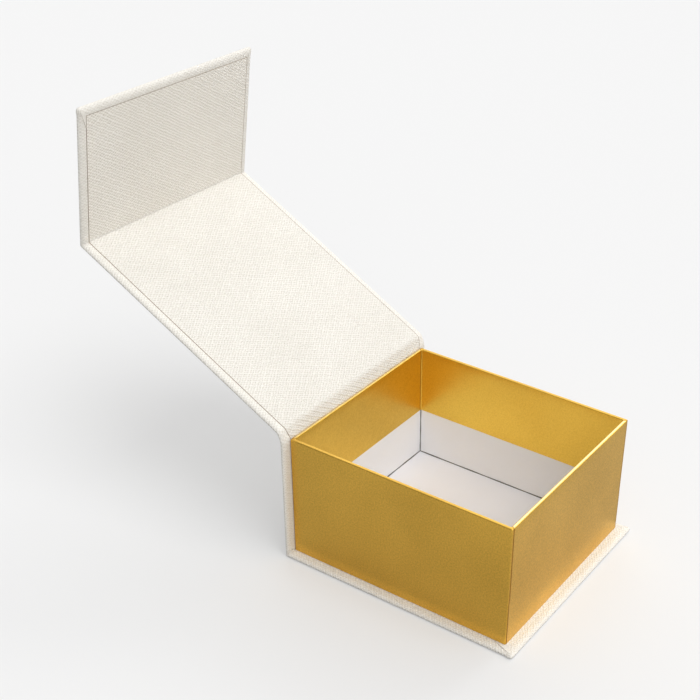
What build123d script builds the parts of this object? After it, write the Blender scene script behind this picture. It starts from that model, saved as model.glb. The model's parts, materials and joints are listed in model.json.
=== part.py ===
"""Book-style jewelry gift box: a paper-wrapped case of four boards round a foil-covered tray.

Frame: millimetres, +Z up, X along the folds, -Y the front. The origin is the centre of the
case's bottom face. The lid and the flap stand open: the lid leans back past the spine, and
the flap stands up from its far edge. Each case panel is built in the plane of its own outer
face, with Y running away from its fold and Z pointing to the inside of the box.
"""
import os
from math import cos, radians, sin, tan

from build123d import *

os.makedirs("parts", exist_ok=True)

# Tray, outside its foil
tray_width = 100.0
tray_depth = 112.0
tray_height = 60.0
tray_board = 1.2
tray_board_gap = 0.25
tray_edge_radius = 0.5

# Foil paper on the tray, and the paper stays under it
foil = 0.12
foil_turn_in = 34.0
foil_seam = 1.0
stay_paper = 0.10
stay_leg = 12.0
stay_end_margin = 2.0

# Case panels
case_board = 2.0
cover_paper = 0.15
liner_paper = 0.15
cover_turn_in = 15.0
liner_inset = 2.5
spine_liner_inset = 1.0
side_ledge = 4.3
front_ledge = 5.5
board_edge_radius = 0.4

# Folds and closing clearances
lid_clearance = 0.3
flap_clearance = 2.0
table_clearance = 0.3
fold_clearance = 0.3
board_setback = 0.8

# How far the box stands open, in degrees: lid back from upright, flap up from the lid
lid_lean = 62.0
flap_bend = 70.0

# Closure magnets
magnet_diameter = 10.0
magnet_thickness = 1.0
magnet_fit = 0.1
magnet_spacing = 50.0
magnet_drop = 20.0

# Case, worked out
case_width = tray_width + 2 * side_ledge
board_top = cover_paper + case_board
wrapped_board = board_top + cover_paper
panel = wrapped_board + liner_paper
base_depth = front_ledge + tray_depth + panel
rear_y = base_depth / 2
spine_face_y = rear_y - panel
rim_z = wrapped_board + tray_height
fold_z = rim_z + lid_clearance + panel
lid_length = base_depth + panel + flap_clearance
lid_end = lid_length - panel - fold_clearance
flap_length = fold_z - table_clearance
board_x = case_width / 2 - cover_paper
liner_x = case_width / 2 - liner_inset
spine_liner_x = tray_width / 2 - spine_liner_inset
window_x = case_width / 2 - cover_turn_in
wrap_radius = board_edge_radius + cover_paper

# Tray, worked out
tray_y = spine_face_y - tray_depth / 2
skin = 2 * foil + stay_paper
floor_z = wrapped_board + foil
board_rim_z = rim_z - foil
turn_in_z = rim_z - foil_turn_in
skin_x = tray_width / 2 - skin
skin_y = tray_depth / 2 - skin
inner_x = skin_x - tray_board
inner_y = skin_y - tray_board
magnet_z = rim_z - magnet_drop
magnet_from_fold = fold_z - magnet_z

# Planes of the outer faces, each with its origin on its fold
base_plane = Plane(origin=(0, rear_y, 0), x_dir=(-1, 0, 0), z_dir=(0, 0, 1))
spine_plane = Plane(origin=(0, rear_y, 0), x_dir=(1, 0, 0), z_dir=(0, -1, 0))
lean = radians(lid_lean)
lid_plane = Plane(origin=(0, rear_y, fold_z), x_dir=(1, 0, 0), z_dir=(0, -cos(lean), sin(lean)))
flap_lean = radians(lid_lean - flap_bend)
flap_plane = Plane(
    origin=lid_plane.from_local_coords(Vector(0, lid_length, 0)),
    x_dir=(1, 0, 0),
    z_dir=(0, -cos(flap_lean), sin(flap_lean)),
)
mitre_plane = Plane(origin=(0, rear_y, 0), x_dir=(1, 0, 0), z_dir=(0, 1, 1))
tray_plane = Plane(origin=(0, tray_y, 0), x_dir=(1, 0, 0), z_dir=(0, 0, 1))
on_face = (Align.CENTER, Align.MIN, Align.MIN)


def save(piece, name):
    """Label a finished piece and write it to a STEP file of its own."""
    piece.label = name
    export_step(piece, f"parts/{name}.step")


def slab(plane, half_width, near, far, bottom, top, radius, round_tip):
    """Flat slab in a panel's plane, its long edges and perhaps its far end rounded."""
    with BuildPart() as body:
        with Locations(plane.location * Location((0, near, bottom))):
            Box(2 * half_width, far - near, top - bottom, align=on_face)
        edges = body.edges().filter_by(lambda e: abs(e.length - (far - near)) < 0.01)
        if round_tip:
            edges += body.edges().filter_by(
                lambda e: plane.to_local_coords(e.center()).Y > far - 0.01
            )
        fillet(edges, radius)
    return body.part


def panel_board(plane, near, far, round_tip):
    """Greyboard of one case panel."""
    return slab(plane, board_x, near, far, cover_paper, board_top, board_edge_radius, round_tip)


def panel_cover(plane, board, near, far, window_far, round_tip):
    """Cover paper of one panel: outer face, wrapped edges and the turn-ins round its window."""
    with BuildPart() as paper:
        add(slab(plane, case_width / 2, near, far, 0, wrapped_board, wrap_radius, round_tip))
        add(board, mode=Mode.SUBTRACT)
        with Locations(plane.location * Location((0, near, board_top))):
            Box(2 * window_x, window_far - near, cover_paper, align=on_face, mode=Mode.SUBTRACT)
    return paper.part


def panel_liner(plane, half_width, near, far, window_far):
    """Liner paper of one panel, bedded on the turn-ins and on the board between them."""
    with BuildPart() as paper:
        with Locations(plane.location * Location((0, near, wrapped_board))):
            Box(2 * half_width, far - near, liner_paper, align=on_face)
        with Locations(plane.location * Location((0, near, board_top))):
            Box(2 * window_x, window_far - near, cover_paper, align=on_face)
    return paper.part


def fold_strip(points, half_width):
    """Paper across a fold, from its outline in the YZ plane."""
    with BuildPart() as strip:
        with BuildSketch(Plane.YZ.offset(-half_width)):
            with BuildLine():
                Polyline(*points, close=True)
            make_face()
        extrude(amount=2 * half_width)
    return strip.part


def outline(*plane_points):
    """YZ points of a section from (plane, distance from the fold, distance inward) entries."""
    corners = []
    for plane, along, inward in plane_points:
        corner = plane.from_local_coords(Vector(0, along, inward))
        corners.append((corner.Y, corner.Z))
    return corners


# ---------------------------------------------------------------------------
# Case boards: the base and the spine meet in a mitre at the bottom rear fold
# ---------------------------------------------------------------------------
with BuildPart() as base_board:
    add(panel_board(base_plane, 0, base_depth - cover_paper, True))
    split(bisect_by=mitre_plane, keep=Keep.BOTTOM)
save(base_board.part, "base_board")

with BuildPart() as spine_board:
    add(panel_board(spine_plane, 0, rim_z, False))
    split(bisect_by=mitre_plane, keep=Keep.TOP)
save(spine_board.part, "spine_board")

with BuildPart() as lid_board:
    add(panel_board(lid_plane, board_setback, lid_end, False))
save(lid_board.part, "lid_board")

with BuildPart() as flap_board:
    add(panel_board(flap_plane, board_setback, flap_length - cover_paper, True))
    with BuildSketch(flap_plane.offset(board_top)):
        with Locations((0, magnet_from_fold)):
            with GridLocations(magnet_spacing, 1, 2, 1):
                Circle(magnet_diameter / 2 + magnet_fit)
    extrude(amount=-magnet_thickness, mode=Mode.SUBTRACT)
save(flap_board.part, "flap_board")

# ---------------------------------------------------------------------------
# Cover paper: the part of the one sheet that wraps each panel
# ---------------------------------------------------------------------------
base_window = base_depth - cover_turn_in
with BuildPart() as cover_base:
    add(panel_cover(base_plane, base_board.part, 0, base_depth, base_window, True))
    split(bisect_by=mitre_plane, keep=Keep.BOTTOM)
save(cover_base.part, "cover_base")

with BuildPart() as cover_spine:
    add(panel_cover(spine_plane, spine_board.part, 0, rim_z, rim_z, False))
    split(bisect_by=mitre_plane, keep=Keep.TOP)
save(cover_spine.part, "cover_spine")

with BuildPart() as cover_lid:
    add(panel_cover(lid_plane, lid_board.part, board_setback, lid_end, lid_end, False))
save(cover_lid.part, "cover_lid")

# The magnet pockets are filled for the cut, so that the cover has no plug in them
flap_window = flap_length - cover_turn_in
solid_flap_board = panel_board(flap_plane, board_setback, flap_length - cover_paper, True)
with BuildPart() as cover_flap:
    add(panel_cover(flap_plane, solid_flap_board, board_setback, flap_length, flap_window, True))
save(cover_flap.part, "cover_flap")

# ---------------------------------------------------------------------------
# Liner paper: the part of the one sheet that lines each panel
# ---------------------------------------------------------------------------
with BuildPart() as liner_spine:
    with Locations(spine_plane.location * Location((0, wrapped_board, wrapped_board))):
        Box(2 * spine_liner_x, rim_z - wrapped_board, liner_paper, align=on_face)
    with Locations(spine_plane.location * Location((0, wrapped_board, board_top))):
        Box(2 * window_x, rim_z - wrapped_board, cover_paper, align=on_face)
save(liner_spine.part, "liner_spine")

with BuildPart() as liner_lid:
    add(panel_liner(lid_plane, liner_x, board_setback, lid_end, lid_end))
save(liner_lid.part, "liner_lid")

with BuildPart() as liner_flap:
    add(panel_liner(flap_plane, liner_x, board_setback, flap_length - liner_inset, flap_window))
save(liner_flap.part, "liner_flap")

# ---------------------------------------------------------------------------
# Paper across the two folds, at the shape it has with the box open
# ---------------------------------------------------------------------------
lid_fold_pull = tan(lean / 2)
with BuildPart() as cover_lid_fold:
    add(
        fold_strip(
            outline(
                (spine_plane, rim_z, 0),
                (lid_plane, 0, 0),
                (lid_plane, board_setback, 0),
                (lid_plane, board_setback, cover_paper),
                (lid_plane, -cover_paper * lid_fold_pull, cover_paper),
                (spine_plane, rim_z, cover_paper),
            ),
            case_width / 2,
        )
    )
save(cover_lid_fold.part, "cover_lid_fold")

bonded = cover_paper + liner_paper
with BuildPart() as liner_lid_fold:
    add(
        fold_strip(
            outline(
                (spine_plane, rim_z, cover_paper),
                (lid_plane, -cover_paper * lid_fold_pull, cover_paper),
                (lid_plane, board_setback, cover_paper),
                (lid_plane, board_setback, panel),
                (lid_plane, board_setback - liner_paper, panel),
                (lid_plane, board_setback - liner_paper, bonded),
                (lid_plane, -bonded * lid_fold_pull, bonded),
                (spine_plane, rim_z + liner_paper, bonded),
                (spine_plane, rim_z + liner_paper, panel),
                (spine_plane, rim_z, panel),
            ),
            spine_liner_x,
        )
    )
save(liner_lid_fold.part, "liner_lid_fold")

flap_fold_pull = tan(radians(flap_bend) / 2)
with BuildPart() as cover_flap_fold:
    add(
        fold_strip(
            outline(
                (lid_plane, lid_end, 0),
                (lid_plane, lid_length, 0),
                (flap_plane, board_setback, 0),
                (flap_plane, board_setback, cover_paper),
                (lid_plane, lid_length - cover_paper * flap_fold_pull, cover_paper),
                (lid_plane, lid_end, cover_paper),
            ),
            case_width / 2,
        )
    )
save(cover_flap_fold.part, "cover_flap_fold")

# The liner bridges straight to the flap's inner face, which it meets at the inner crease
inner_crease = lid_length - panel * flap_fold_pull
lower_crease = inner_crease - liner_paper / tan(radians(flap_bend))
with BuildPart() as liner_flap_fold:
    add(
        fold_strip(
            outline(
                (lid_plane, lid_end, wrapped_board),
                (lid_plane, lower_crease, wrapped_board),
                (lid_plane, inner_crease, panel),
                (lid_plane, lid_end, panel),
            ),
            liner_x,
        )
    )
save(liner_flap_fold.part, "liner_flap_fold")

# ---------------------------------------------------------------------------
# Tray boards: the side walls run the full depth, the ends and the floor fit between them
# ---------------------------------------------------------------------------
wall_height = board_rim_z - floor_z
with BuildPart() as tray_floor_board:
    with BuildSketch(tray_plane.offset(floor_z)):
        Rectangle(2 * (inner_x - tray_board_gap), 2 * (inner_y - tray_board_gap))
    extrude(amount=tray_board)
save(tray_floor_board.part, "tray_floor_board")

for side, name in ((-1, "tray_left_board"), (1, "tray_right_board")):
    with BuildPart() as tray_side_board:
        with BuildSketch(tray_plane.offset(floor_z)):
            with Locations((side * (inner_x + tray_board / 2), 0)):
                Rectangle(tray_board, 2 * skin_y)
        extrude(amount=wall_height)
    save(tray_side_board.part, name)

with BuildPart() as tray_back_board:
    with BuildSketch(tray_plane.offset(floor_z)):
        with Locations((0, inner_y + tray_board / 2)):
            Rectangle(2 * (inner_x - tray_board_gap), tray_board)
    extrude(amount=wall_height)
save(tray_back_board.part, "tray_back_board")

front_face = Plane(origin=(0, tray_y - skin_y, 0), x_dir=(1, 0, 0), z_dir=(0, -1, 0))
with BuildPart() as tray_front_board:
    with BuildSketch(tray_plane.offset(floor_z)):
        with Locations((0, -inner_y - tray_board / 2)):
            Rectangle(2 * (inner_x - tray_board_gap), tray_board)
    extrude(amount=wall_height)
    with BuildSketch(front_face):
        with Locations((0, magnet_z)):
            with GridLocations(magnet_spacing, 1, 2, 1):
                Circle(magnet_diameter / 2 + magnet_fit)
    extrude(amount=-magnet_thickness, mode=Mode.SUBTRACT)
save(tray_front_board.part, "tray_front_board")

# ---------------------------------------------------------------------------
# Paper stays round the tray's four upright corners
# ---------------------------------------------------------------------------
stays = []
leg_centre_x = skin_x + stay_paper - stay_leg / 2
leg_centre_y = skin_y + stay_paper - stay_leg / 2
for x_side, x_name in ((-1, "left"), (1, "right")):
    for y_side, y_name in ((-1, "front"), (1, "back")):
        with BuildPart() as corner_stay:
            with BuildSketch(tray_plane.offset(floor_z + stay_end_margin)):
                with Locations((x_side * leg_centre_x, y_side * leg_centre_y)):
                    Rectangle(stay_leg, stay_leg)
                Rectangle(2 * skin_x, 2 * skin_y, mode=Mode.SUBTRACT)
            extrude(amount=wall_height - 2 * stay_end_margin)
        stays.append(corner_stay.part)
        save(corner_stay.part, f"corner_stay_{y_name}_{x_name}")

# ---------------------------------------------------------------------------
# Foil wrap: skin, rim and the turn-in down the inner walls. Its front and back panels stop
# short of the corners, over tabs from the side panels.
# ---------------------------------------------------------------------------
with BuildPart() as tray_foil_wrap:
    with BuildSketch(tray_plane.offset(wrapped_board)):
        Rectangle(tray_width, tray_depth - 2 * foil)
        Rectangle(tray_width - 2 * foil_seam, tray_depth)
    extrude(amount=tray_height)
    corners = tray_foil_wrap.edges().filter_by(Axis.Z)
    corners = corners.filter_by(lambda e: abs(e.center().X) > tray_width / 2 - 0.01)
    fillet(corners, tray_edge_radius)
    with BuildSketch(tray_plane.offset(floor_z)):
        Rectangle(2 * skin_x, 2 * skin_y)
    extrude(amount=wall_height, mode=Mode.SUBTRACT)
    with BuildSketch(tray_plane.offset(turn_in_z)):
        Rectangle(2 * inner_x, 2 * inner_y)
    extrude(amount=foil_turn_in)
    with BuildSketch(tray_plane.offset(turn_in_z)):
        Rectangle(2 * (inner_x - foil), 2 * (inner_y - foil))
    extrude(amount=foil_turn_in, mode=Mode.SUBTRACT)
    for stay in stays:
        add(stay, mode=Mode.SUBTRACT)
save(tray_foil_wrap.part, "tray_foil_wrap")

# ---------------------------------------------------------------------------
# Closure magnets, in pockets behind the flap's liner and the tray's front foil
# ---------------------------------------------------------------------------
for side, name in ((-1, "left"), (1, "right")):
    magnet_x = side * magnet_spacing / 2
    with BuildPart() as flap_magnet:
        with BuildSketch(flap_plane.offset(board_top)):
            with Locations((magnet_x, magnet_from_fold)):
                Circle(magnet_diameter / 2)
        extrude(amount=-magnet_thickness)
    save(flap_magnet.part, f"flap_magnet_{name}")

    with BuildPart() as tray_magnet:
        with BuildSketch(front_face):
            with Locations((magnet_x, magnet_z)):
                Circle(magnet_diameter / 2)
        extrude(amount=-magnet_thickness)
    save(tray_magnet.part, f"tray_magnet_{name}")
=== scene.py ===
"""Looks of a book-style jewelry gift box: a paper-wrapped case round a foil-covered tray.

The case is one sheet of embossed paper wrapped round four greyboards. Its pieces follow one
path in the YZ plane: from the front edge of the base to the spine, over the lid fold, along
the lid, over the flap fold and up the flap. Lengths are in metres, in the frame of the part.
"""
import json
import logging
import math
from dataclasses import dataclass, field
from enum import Enum

import bmesh
import bpy
import numpy as np
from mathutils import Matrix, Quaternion, Vector


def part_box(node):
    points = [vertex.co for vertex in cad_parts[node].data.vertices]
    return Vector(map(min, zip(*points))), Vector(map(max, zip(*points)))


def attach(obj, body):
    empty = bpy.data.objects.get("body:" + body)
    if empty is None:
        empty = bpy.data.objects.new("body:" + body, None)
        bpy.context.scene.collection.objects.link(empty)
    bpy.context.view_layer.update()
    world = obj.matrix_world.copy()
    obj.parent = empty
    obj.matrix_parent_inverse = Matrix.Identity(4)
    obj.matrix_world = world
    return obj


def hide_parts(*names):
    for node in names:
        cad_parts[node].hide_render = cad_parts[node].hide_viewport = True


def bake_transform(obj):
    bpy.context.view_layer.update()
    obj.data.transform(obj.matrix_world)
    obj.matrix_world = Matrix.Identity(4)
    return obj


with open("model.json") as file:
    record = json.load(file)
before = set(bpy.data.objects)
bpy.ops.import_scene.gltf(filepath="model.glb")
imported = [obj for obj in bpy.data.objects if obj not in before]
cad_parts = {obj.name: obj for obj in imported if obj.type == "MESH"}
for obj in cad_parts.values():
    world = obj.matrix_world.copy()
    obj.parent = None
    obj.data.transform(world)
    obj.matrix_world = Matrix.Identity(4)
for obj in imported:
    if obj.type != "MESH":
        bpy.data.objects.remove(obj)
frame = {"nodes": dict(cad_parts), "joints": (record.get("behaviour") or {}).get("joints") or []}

LOG = logging.getLogger("gift_box")
MM = 0.001
SMOOTH_ANGLE = math.radians(32)
MERGE = 0.002 * MM
HAIR = 0.01 * MM  # counts as nothing, and keeps two faces from lying in one plane


class Body(str, Enum):
    """Bodies of the part that pieces ride on."""

    BOX = "box"
    LID = "lid"
    FLAP = "flap"


class Slot(str, Enum):
    """Material slots of the part's record."""

    COVER = "cover_paper"
    LINER = "liner_paper"
    FOIL = "gold_foil"
    GREY = "grey_board"
    WHITE = "white_board"
    STAY = "stay_paper"
    MAGNET = "magnet"


# ---------------------------------------------------------------------------
# Shader nodes
# ---------------------------------------------------------------------------
class Bench:
    """Places and wires shader nodes in one node tree."""

    def __init__(self, tree: bpy.types.NodeTree) -> None:
        """Start with an empty tree.

        Args:
            tree: The node tree that is filled.
        """
        self.tree = tree
        tree.nodes.clear()

    def node(self, kind: str, values: dict | None = None, **links: object) -> bpy.types.Node:
        """Add a node and feed its sockets.

        Args:
            kind: Node type without the "ShaderNode" prefix.
            values: Properties of the node itself.
            **links: Socket name, underscores for spaces, to a constant or an output socket.

        Returns:
            The new node.
        """
        prefix = "" if kind.startswith("Node") else "ShaderNode"
        made = self.tree.nodes.new(prefix + kind)
        for name, value in (values or {}).items():
            setattr(made, name, value)
        for name, value in links.items():
            self.feed(made, name, value)
        return made

    def feed(self, node: bpy.types.Node, name: str, value: object) -> None:
        """Set a socket to a constant or link an output to it.

        Args:
            node: The node that is fed.
            name: Socket name with underscores for spaces, or "in0", "in1" by place.
            value: A constant or an output socket.
        """
        socket = node.inputs[int(name[2:])] if name[:2] == "in" and name[2:].isdigit() else \
            node.inputs[name.replace("_", " ")]
        if isinstance(value, bpy.types.NodeSocket):
            self.tree.links.new(value, socket)
        else:
            socket.default_value = value

    def maths(self, operation: str, *values: object) -> bpy.types.NodeSocket:
        """Output of a Math node on constants and sockets."""
        links = {f"in{i}": v for i, v in enumerate(values)}
        return self.node("Math", {"operation": operation}, **links).outputs[0]

    def mix(self, share: object, first: object, second: object) -> bpy.types.NodeSocket:
        """Colour between two.

        Args:
            share: Share of the second colour, from 0 to 1.
            first: Colour at 0.
            second: Colour at 1.

        Returns:
            The colour's output.
        """
        made = self.node("Mix", {"data_type": "RGBA"})
        for place, value in ((0, share), (6, first), (7, second)):
            self.feed(made, f"in{place}", value)
        return made.outputs[2]

    def spread(self, value: object, low: float, high: float, to_low: float,
               to_high: float) -> bpy.types.NodeSocket:
        """Value carried from one range to another and held at its ends."""
        return self.node("MapRange", {"clamp": True}, in0=value, in1=low, in2=high, in3=to_low,
                         in4=to_high).outputs[0]

    def noise(self, vector: object, scale: float, detail: float = 3.0,
              roughness: float = 0.55) -> bpy.types.NodeSocket:
        """Value of a Noise texture, about 0.5 in the mean."""
        return self.node("TexNoise", Vector=vector, Scale=scale, Detail=detail,
                         Roughness=roughness).outputs[0]


def new_group(name: str, inputs: dict[str, tuple[str, float]],
              outputs: dict[str, str]) -> tuple[bpy.types.NodeTree, Bench]:
    """Start a shader node group with named sockets.

    Args:
        name: Name of the group.
        inputs: Socket name to its kind and default.
        outputs: Socket name to its kind.

    Returns:
        The group's tree and a bench on it.
    """
    tree = bpy.data.node_groups.new(name, "ShaderNodeTree")
    bench = Bench(tree)
    for label, (kind, start) in inputs.items():
        socket = tree.interface.new_socket(label, in_out="INPUT", socket_type=f"NodeSocket{kind}")
        if kind == "Float":
            socket.default_value = start
    for label, kind in outputs.items():
        tree.interface.new_socket(label, in_out="OUTPUT", socket_type=f"NodeSocket{kind}")
    return tree, bench


def emboss_group() -> bpy.types.NodeTree:
    """Diamond emboss of the case papers, on a sheet's own coordinates in metres.

    Two sets of fine ribs cross on the diagonals of a lattice. With a and b the ribs' own
    coordinates, a = along * v + across * u and b = along * v - across * u, the height is a sum
    of cosines of a and b and of their doubles, and of cos a * cos b, roughened by fibre noise.

    Returns:
        The group, with outputs Height and Hollow, both from 0 to 1; Hollow masks the painted shade in
        the emboss's hollows.
    """
    tree, bench = new_group(
        "diamond emboss",
        {"Vector": ("Vector", 0.0), "Across": ("Float", 225.0), "Along": ("Float", 360.0),
         "Fibre": ("Float", 1.15)},
        {"Height": "Float", "Hollow": "Float"},
    )
    given = bench.node("NodeGroupInput").outputs
    split = bench.node("SeparateXYZ", Vector=given["Vector"]).outputs
    wander = bench.maths("MULTIPLY_ADD", bench.noise(given["Vector"], 260.0, 2.0), 0.5, -0.25)
    across = bench.maths("MULTIPLY", split[0], given["Across"])
    along = bench.maths("MULTIPLY_ADD", split[1], given["Along"], wander)
    ribs = []
    for rib in (bench.maths("ADD", along, across), bench.maths("SUBTRACT", along, across)):
        for double in (1.0, 2.0):
            turn = bench.maths("MULTIPLY", rib, 2 * math.pi * double)
            ribs.append(bench.maths("COSINE", turn))
    stitch = bench.maths("MULTIPLY", ribs[0], ribs[2])
    height = 0.5
    for wave, weight in zip((*ribs, stitch), (0.06, 0.14, 0.05, 0.12, 0.06)):
        height = bench.maths("MULTIPLY_ADD", wave, weight, height)
    fibre = bench.maths("SUBTRACT", bench.noise(given["Vector"], 1500.0, 4.0, 0.6), 0.5)
    height = bench.maths("MULTIPLY_ADD", fibre, given["Fibre"], height)
    # Mask of the painted shade, high in the emboss's hollows.
    hollow_shade = bench.spread(height, 0.62, 0.18, 0.0, 1.0)
    bench.node("NodeGroupOutput", Height=height, Hollow=hollow_shade)
    return tree


def fibre_group() -> bpy.types.NodeTree:
    """Cloudy fibre and specks of a pressed board.

    Returns:
        The group, with outputs Cloud, Speck and Height, all from 0 to 1.
    """
    tree, bench = new_group(
        "board fibre",
        {"Vector": ("Vector", 0.0), "Cloud size": ("Float", 90.0), "Fibre size": ("Float", 1800.0)},
        {"Cloud": "Float", "Speck": "Float", "Height": "Float"},
    )
    given = bench.node("NodeGroupInput").outputs
    cloud = bench.noise(given["Vector"], 0.0, 4.0)
    bench.feed(cloud.node, "Scale", given["Cloud size"])
    fine = bench.noise(given["Vector"], 0.0, 5.0, 0.7)
    bench.feed(fine.node, "Scale", given["Fibre size"])
    speck = bench.spread(fine, 0.62, 0.74, 0.0, 1.0)
    bench.node("NodeGroupOutput", Cloud=bench.spread(cloud, 0.3, 0.7, 0.0, 1.0), Speck=speck,
               Height=fine)
    return tree


@dataclass(frozen=True)
class Groups:
    """Node groups that several finishes use."""

    emboss: bpy.types.NodeTree
    fibre: bpy.types.NodeTree


def start_material(name: str) -> tuple[bpy.types.Material, Bench, bpy.types.Node]:
    """Material with a Principled shader joined to its output.

    Args:
        name: Name of the material.

    Returns:
        The material, a bench on its tree and the shader node.
    """
    material = bpy.data.materials.new(name)
    material.use_nodes = True
    bench = Bench(material.node_tree)
    shader = bench.node("BsdfPrincipled")
    bench.node("OutputMaterial", Surface=shader.outputs[0])
    return material, bench, shader


@dataclass(frozen=True)
class EmbossedPaper:
    """Ivory paper with a fine diamond emboss and a faint pearl gloss, with painted shade in the emboss's
    hollows.
    """

    name: str
    tone: tuple[float, float, float]
    # Colour of the painted shade in the emboss's hollows, and the darker end of the random tone.
    hollow_shade_tone: tuple[float, float, float]
    depth: float = 0.45 * MM
    hollow_shade_share: float = 0.55
    roughness: float = 0.62

    def build(self, groups: Groups) -> bpy.types.Material:
        """Make the material.

        Args:
            groups: The shared node groups.

        Returns:
            The material.
        """
        material, bench, shader = start_material(self.name)
        sheet = bench.node("UVMap", {"uv_map": "sheet"}).outputs[0]
        emboss = bench.node("Group", {"node_tree": groups.emboss}, Vector=sheet).outputs
        place = bench.node("TexCoord").outputs["Object"]
        cloud = bench.noise(place, 35.0, 3.0)
        tone = bench.mix(bench.spread(cloud, 0.35, 0.65, 0.0, 0.10), (*self.tone, 1),
                         (*self.hollow_shade_tone, 1))
        # Painted shade: the emboss's hollows are darkened towards the shade tone.
        hollow_shade = bench.maths("MULTIPLY", emboss["Hollow"], self.hollow_shade_share)
        bench.feed(shader, "Base_Color", bench.mix(hollow_shade, tone, (*self.hollow_shade_tone, 1)))
        bench.feed(shader, "Roughness",
                   bench.spread(emboss["Height"], 0.2, 0.9, self.roughness + 0.1, self.roughness - 0.08))
        bump = bench.node("Bump", Strength=1.0, Distance=self.depth, Height=emboss["Height"])
        bench.feed(shader, "Normal", bump.outputs[0])
        shader.inputs["Specular IOR Level"].default_value = 0.3
        return material


@dataclass(frozen=True)
class SatinFoil:
    """Satin gold foil on paper."""

    name: str
    tone: tuple[float, float, float]
    deep_tone: tuple[float, float, float]
    roughness: float = 0.34

    def build(self) -> bpy.types.Material:
        """Make the material.

        Returns:
            The material.
        """
        material, bench, shader = start_material(self.name)
        place = bench.node("TexCoord").outputs["Object"]
        cloud = bench.noise(place, 22.0, 3.0)
        grain = bench.noise(place, 1300.0, 4.0, 0.7)
        swell = bench.noise(place, 28.0, 1.0)
        fleck = bench.maths("ADD", bench.spread(cloud, 0.35, 0.65, 0.0, 0.3),
                            bench.spread(grain, 0.36, 0.64, 0.0, 0.7))
        bench.feed(shader, "Base_Color",
                   bench.mix(fleck, (*self.tone, 1), (*self.deep_tone, 1)))
        rough = bench.maths("ADD", bench.spread(cloud, 0.3, 0.7, -0.02, 0.02),
                            bench.spread(grain, 0.3, 0.7, self.roughness - 0.03, self.roughness + 0.03))
        bench.feed(shader, "Roughness", rough)
        shader.inputs["Metallic"].default_value = 1.0
        wave = bench.node("Bump", Strength=0.6, Distance=0.25 * MM, Height=swell)
        bump = bench.node("Bump", Strength=0.6, Distance=0.02 * MM, Height=grain,
                          Normal=wave.outputs[0])
        bench.feed(shader, "Normal", bump.outputs[0])
        return material


@dataclass(frozen=True)
class PressedBoard:
    """Board or plain paper with fibre clouds and specks."""

    name: str
    tone: tuple[float, float, float]
    cloud_tone: tuple[float, float, float]
    speck_tone: tuple[float, float, float]
    cloud_share: float = 0.5
    speck_share: float = 0.3
    roughness: float = 0.75
    depth: float = 0.02 * MM

    def build(self, groups: Groups) -> bpy.types.Material:
        """Make the material.

        Args:
            groups: The shared node groups.

        Returns:
            The material.
        """
        material, bench, shader = start_material(self.name)
        place = bench.node("TexCoord").outputs["Object"]
        fibre = bench.node("Group", {"node_tree": groups.fibre}, Vector=place).outputs
        cloud = bench.maths("MULTIPLY", fibre["Cloud"], self.cloud_share)
        tone = bench.mix(cloud, (*self.tone, 1), (*self.cloud_tone, 1))
        speck = bench.maths("MULTIPLY", fibre["Speck"], self.speck_share)
        bench.feed(shader, "Base_Color", bench.mix(speck, tone, (*self.speck_tone, 1)))
        bench.feed(shader, "Roughness",
                   bench.spread(fibre["Height"], 0.2, 0.8, self.roughness - 0.05, self.roughness + 0.05))
        bump = bench.node("Bump", Strength=0.6, Distance=self.depth, Height=fibre["Height"])
        bench.feed(shader, "Normal", bump.outputs[0])
        return material


@dataclass(frozen=True)
class PlatedMagnet:
    """Nickel plating with fine turning lines."""

    name: str = "nickel plating"

    def build(self) -> bpy.types.Material:
        """Make the material.

        Returns:
            The material.
        """
        material, bench, shader = start_material(self.name)
        place = bench.node("TexCoord").outputs["Object"]
        grain = bench.noise(place, 900.0, 4.0)
        bench.feed(shader, "Base_Color", bench.mix(grain, (0.62, 0.61, 0.58, 1), (0.5, 0.49, 0.47, 1)))
        shader.inputs["Metallic"].default_value = 1.0
        bench.feed(shader, "Roughness", bench.spread(grain, 0.3, 0.7, 0.2, 0.34))
        return material


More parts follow.
